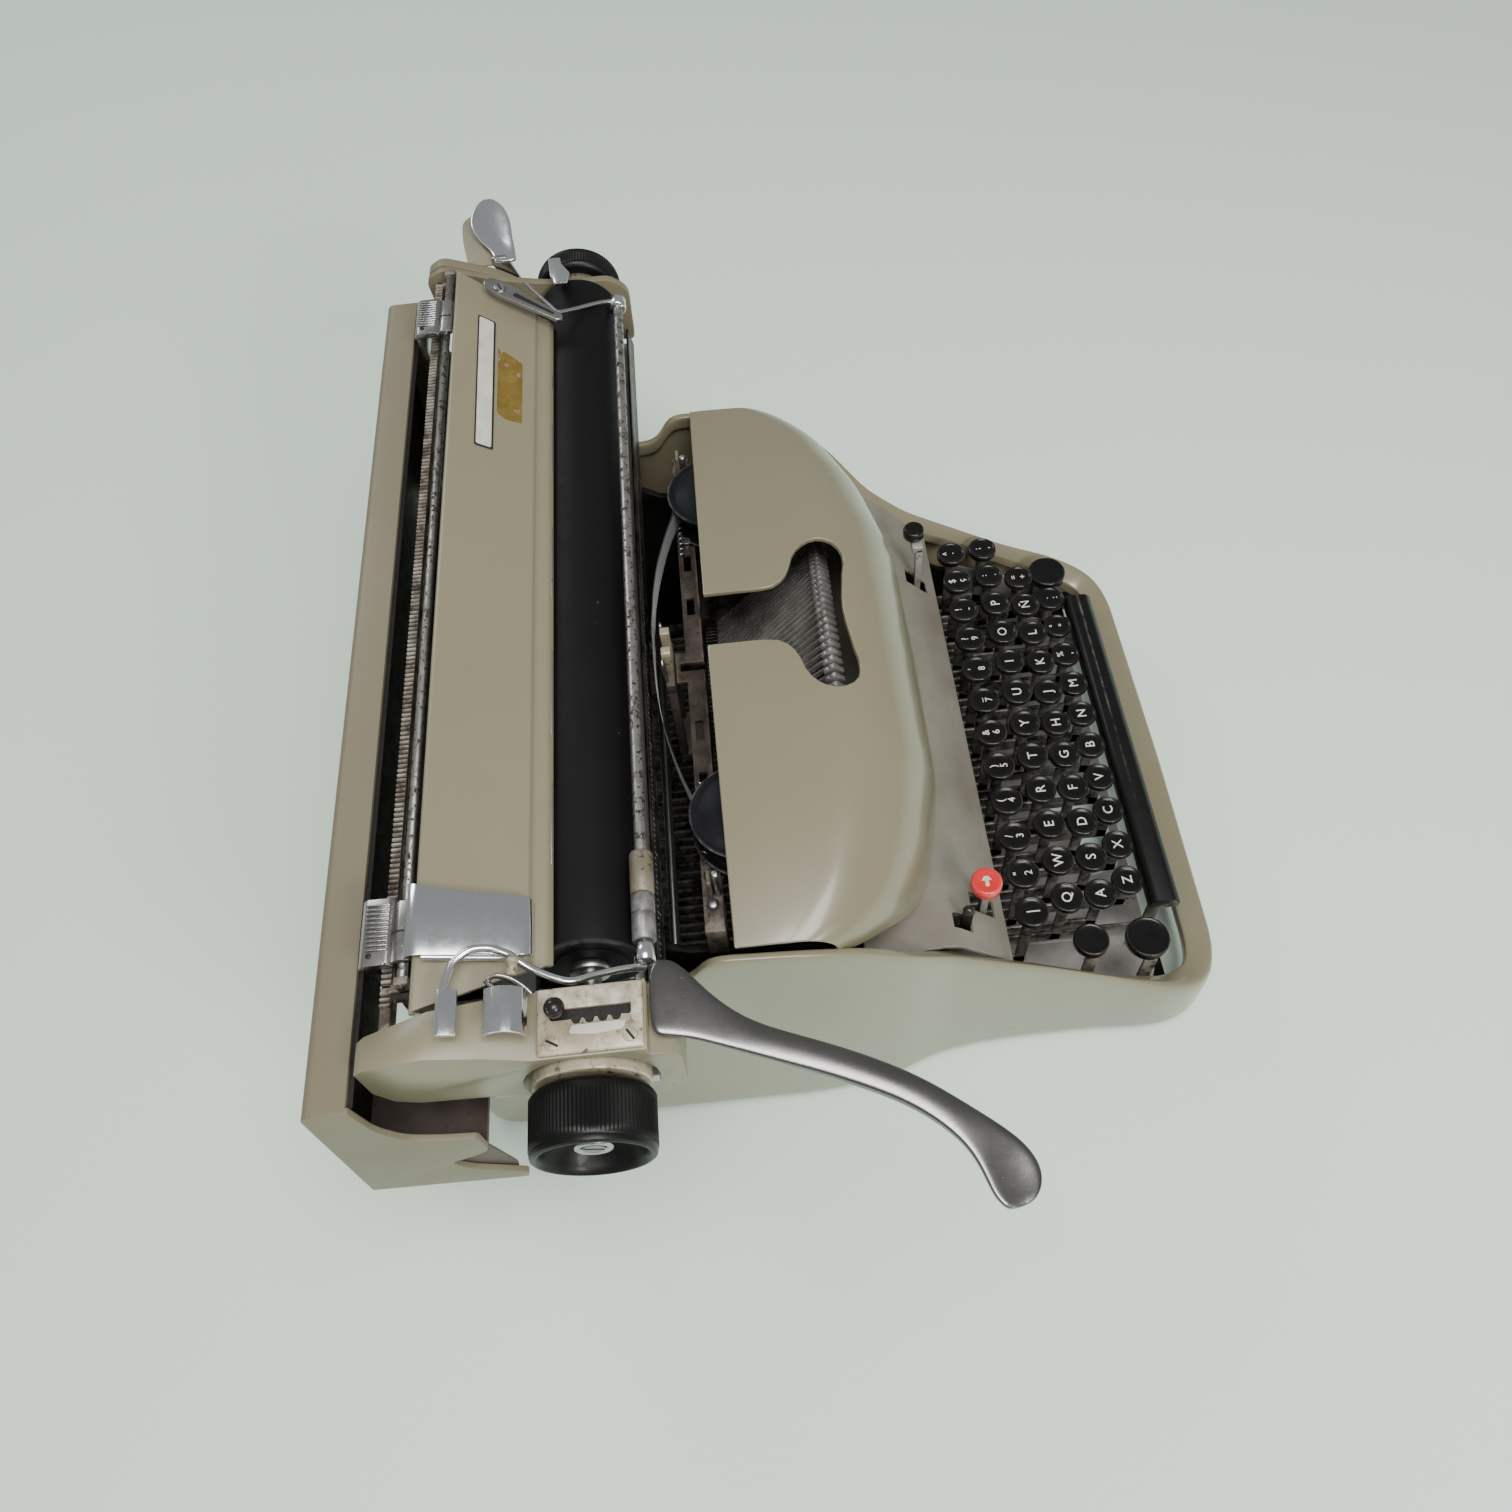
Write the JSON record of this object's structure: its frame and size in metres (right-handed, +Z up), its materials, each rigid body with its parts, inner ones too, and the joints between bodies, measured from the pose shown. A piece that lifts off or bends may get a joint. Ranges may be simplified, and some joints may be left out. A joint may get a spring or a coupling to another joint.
{
  "type": "typewriter",
  "caption": "Manual office typewriter with a wide sliding carriage, domed ribbon cover, sloping keyboard and a long carriage return lever.",
  "frame": {"origin": "centre of the footprint on the desk, under the feet", "axes": "+X to the typist's right along the carriage, +Y to the back, +Z up"},
  "size_m": [0.516, 0.3704, 0.2335],
  "materials": {
    "enamel": "semi-gloss grey-beige stoved enamel",
    "chrome": "polished, lightly pitted",
    "steel": "brushed",
    "dark_steel": "blackened, oily",
    "rusty_steel": "aged, matt",
    "rubber": "worn matt",
    "black_plastic": "gloss",
    "red_plastic": "gloss",
    "ivory_metal": "aged ivory lacquer",
    "ribbon_cloth": "inked cotton"
  },
  "bodies": {
    "machine_body": {"body_shell": "enamel", "front_panel": "enamel", "rear_cover": "enamel", "foot_front_left": "rubber", "foot_front_right": "rubber", "foot_rear_left": "rubber", "foot_rear_right": "rubber", "left_frame_plate": "dark_steel", "right_frame_plate": "dark_steel", "front_carriage_rail": "steel", "rear_carriage_rail": "steel", "rear_frame_bar": "dark_steel", "key_lever_comb": "dark_steel", "key_fulcrum_shaft": "steel", "typebar_fan": "dark_steel", "type_segment": "dark_steel", "type_guide": "ivory_metal", "spool_bed": "rusty_steel", "ribbon": "ribbon_cloth", "bell": "steel"},
    "ribbon_cover": {"ribbon_cover": "enamel"},
    "left_spool": {"left_ribbon_spool": "dark_steel"},
    "right_spool": {"right_ribbon_spool": "dark_steel"},
    "number_keys": {"key_row_numbers": "black_plastic"},
    "upper_keys": {"key_row_upper": "black_plastic"},
    "home_keys": {"key_row_home": "black_plastic"},
    "lower_keys": {"key_row_lower": "black_plastic"},
    "h_key": {"key_h": "black_plastic"},
    "h_typebar": {"typebar_h": "dark_steel"},
    "spacebar": {"spacebar": "black_plastic"},
    "shift": {"shift_keys": "black_plastic"},
    "shift_lock": {"shift_lock_key": "black_plastic"},
    "tabulator": {"tabulator_key": "red_plastic"},
    "backspace": {"backspace_key": "black_plastic"},
    "ribbon_selector": {"ribbon_selector_lever": "dark_steel"},
    "carriage": {"carriage_bed": "steel", "left_end_casing": "enamel", "right_end_frame": "ivory_metal", "paper_table": "enamel", "margin_rack": "rusty_steel", "front_scale_rail": "steel", "line_space_plate": "ivory_metal"},
    "platen": {"platen_roller": "rubber", "left_platen_knob": "black_plastic", "right_platen_knob": "black_plastic", "line_space_ratchet": "ivory_metal"},
    "front_feed": {"front_feed_roller": "rubber"},
    "rear_feed": {"rear_feed_roller": "rubber"},
    "bail": {"paper_bail": "chrome", "bail_sleeve": "steel"},
    "return_lever": {"carriage_return_lever": "chrome"},
    "line_selector": {"line_space_selector": "black_plastic"},
    "side_guide": {"paper_side_guide": "chrome"},
    "left_margin": {"left_margin_stop": "chrome"},
    "right_margin": {"right_margin_stop": "chrome"},
    "pressure_lever": {"pressure_lever": "chrome"},
    "paper_release": {"paper_release_lever": "chrome"},
    "carriage_release": {"carriage_release_tab": "chrome"},
    "mainspring": {"mainspring_drum": "dark_steel"},
    "escapement": {"escapement_wheel": "steel"}
  },
  "joints": [
    {"name": "carriage_travel", "type": "slide", "parent": "machine_body", "child": "carriage", "axis": [-1, 0, 0], "range_m": [-0.135, 0.19]},
    {"name": "cover_tilt", "type": "hinge", "parent": "machine_body", "child": "ribbon_cover", "pos_m": [-0.009, -0.05475, 0.112], "axis": [1, 0, 0], "range_deg": [0, 40]},
    {"name": "number_keys_press", "type": "hinge", "parent": "machine_body", "child": "number_keys", "pos_m": [-0.009, 0.07125, 0.05], "axis": [1, 0, 0], "range_deg": [0, 4.5], "stiffness_Nm_per_rad": 0.8, "springref_deg": -20.05},
    {"name": "upper_keys_press", "type": "hinge", "parent": "machine_body", "child": "upper_keys", "pos_m": [-0.009, 0.07125, 0.05], "axis": [1, 0, 0], "range_deg": [0, 4.5], "stiffness_Nm_per_rad": 0.8, "springref_deg": -20.05},
    {"name": "home_keys_press", "type": "hinge", "parent": "machine_body", "child": "home_keys", "pos_m": [-0.009, 0.07125, 0.05], "axis": [1, 0, 0], "range_deg": [0, 4.5], "stiffness_Nm_per_rad": 0.8, "springref_deg": -20.05},
    {"name": "lower_keys_press", "type": "hinge", "parent": "machine_body", "child": "lower_keys", "pos_m": [-0.009, 0.07125, 0.05], "axis": [1, 0, 0], "range_deg": [0, 4.5], "stiffness_Nm_per_rad": 0.8, "springref_deg": -20.05},
    {"name": "h_key_press", "type": "hinge", "parent": "machine_body", "child": "h_key", "pos_m": [-0.009, 0.07125, 0.05], "axis": [1, 0, 0], "range_deg": [0, 4.5], "stiffness_Nm_per_rad": 0.2, "springref_deg": -20.05},
    {"name": "h_typebar_swing", "type": "hinge", "parent": "machine_body", "child": "h_typebar", "pos_m": [-0.009, 0.03295, 0.1227], "axis": [-1, 0, 0], "range_deg": [0, 66.5]},
    {"name": "spacebar_press", "type": "hinge", "parent": "machine_body", "child": "spacebar", "pos_m": [-0.009, 0.02125, 0.027], "axis": [1, 0, 0], "range_deg": [0, 2.6], "stiffness_Nm_per_rad": 1, "springref_deg": -17.19},
    {"name": "shift_press", "type": "hinge", "parent": "machine_body", "child": "shift", "pos_m": [-0.009, 0.07725, 0.022], "axis": [1, 0, 0], "range_deg": [0, 1.5], "stiffness_Nm_per_rad": 1.5, "springref_deg": -20.05},
    {"name": "shift_lock_press", "type": "hinge", "parent": "machine_body", "child": "shift_lock", "pos_m": [-0.127, -0.05875, 0.049], "axis": [1, 0, 0], "range_deg": [0, 3], "stiffness_Nm_per_rad": 0.1, "springref_deg": -17.19},
    {"name": "tabulator_press", "type": "slide", "parent": "machine_body", "child": "tabulator", "axis": [0, 0, -1], "range_m": [0, 0.006], "stiffness_N_per_m": 60, "springref_m": -0.01},
    {"name": "backspace_press", "type": "slide", "parent": "machine_body", "child": "backspace", "axis": [0, 0, -1], "range_m": [0, 0.006], "stiffness_N_per_m": 60, "springref_m": -0.01},
    {"name": "ribbon_selector_turn", "type": "hinge", "parent": "machine_body", "child": "ribbon_selector", "pos_m": [-0.1217, -0.05675, 0.0945], "axis": [0, 0.7071, 0.7071], "range_deg": [-4, 4]},
    {"name": "left_spool_spin", "type": "hinge", "parent": "machine_body", "child": "left_spool", "pos_m": [-0.095, 0.02975, 0.172], "axis": [0, 0, 1], "continuous": true},
    {"name": "right_spool_spin", "type": "hinge", "parent": "machine_body", "child": "right_spool", "pos_m": [0.077, 0.02975, 0.172], "axis": [0, 0, 1], "continuous": true},
    {"name": "platen_turn", "type": "hinge", "parent": "carriage", "child": "platen", "pos_m": [-0.009, 0.08865, 0.1905], "axis": [1, 0, 0], "continuous": true},
    {"name": "front_feed_turn", "type": "hinge", "parent": "carriage", "child": "front_feed", "pos_m": [-0.009, 0.07595, 0.1685], "axis": [1, 0, 0], "continuous": true},
    {"name": "rear_feed_turn", "type": "hinge", "parent": "carriage", "child": "rear_feed", "pos_m": [-0.009, 0.10135, 0.1685], "axis": [1, 0, 0], "continuous": true},
    {"name": "bail_lift", "type": "hinge", "parent": "carriage", "child": "bail", "pos_m": [-0.009, 0.12325, 0.229], "axis": [-1, 0, 0], "range_deg": [0, 45]},
    {"name": "return_lever_swing", "type": "hinge", "parent": "carriage", "child": "return_lever", "pos_m": [-0.1705, 0.06125, 0.213], "axis": [0, 0, 1], "range_deg": [0, 32], "stiffness_Nm_per_rad": 0.3, "springref_deg": -11.46},
    {"name": "line_selector_slide", "type": "slide", "parent": "carriage", "child": "line_selector", "axis": [0, -1, 0], "range_m": [0, 0.021]},
    {"name": "side_guide_slide", "type": "slide", "parent": "carriage", "child": "side_guide", "axis": [1, 0, 0], "range_m": [0, 0.12]},
    {"name": "left_margin_slide", "type": "slide", "parent": "carriage", "child": "left_margin", "axis": [1, 0, 0], "range_m": [0, 0.14]},
    {"name": "right_margin_slide", "type": "slide", "parent": "carriage", "child": "right_margin", "axis": [-1, 0, 0], "range_m": [0, 0.14]},
    {"name": "pressure_lever_pull", "type": "hinge", "parent": "carriage", "child": "pressure_lever", "pos_m": [-0.174, 0.11325, 0.2055], "axis": [1, 0, 0], "range_deg": [0, 10]},
    {"name": "paper_release_pull", "type": "hinge", "parent": "carriage", "child": "paper_release", "pos_m": [0.214, 0.11825, 0.201], "axis": [1, 0, 0], "range_deg": [0, 10]},
    {"name": "carriage_release_pull", "type": "hinge", "parent": "carriage", "child": "carriage_release", "pos_m": [0.2088, 0.09475, 0.201], "axis": [1, 0, 0], "range_deg": [0, 8], "stiffness_Nm_per_rad": 0.05, "springref_deg": -17.19},
    {"name": "mainspring_turn", "type": "hinge", "parent": "machine_body", "child": "mainspring", "pos_m": [-0.093, 0.14125, 0.114], "axis": [0, 1, 0], "continuous": true},
    {"name": "escapement_turn", "type": "hinge", "parent": "machine_body", "child": "escapement", "pos_m": [0.005, 0.15125, 0.128], "axis": [0, 1, 0], "continuous": true}
  ],
  "couplings": [
    {"joint": "h_typebar_swing", "follows": "h_key_press", "ratio": 14.778},
    {"joint": "front_feed_turn", "follows": "platen_turn", "ratio": -4},
    {"joint": "rear_feed_turn", "follows": "platen_turn", "ratio": -4},
    {"joint": "mainspring_turn", "follows": "carriage_travel", "rad_per_m": 41.667},
    {"joint": "escapement_turn", "follows": "carriage_travel", "rad_per_m": -72}
  ]
}
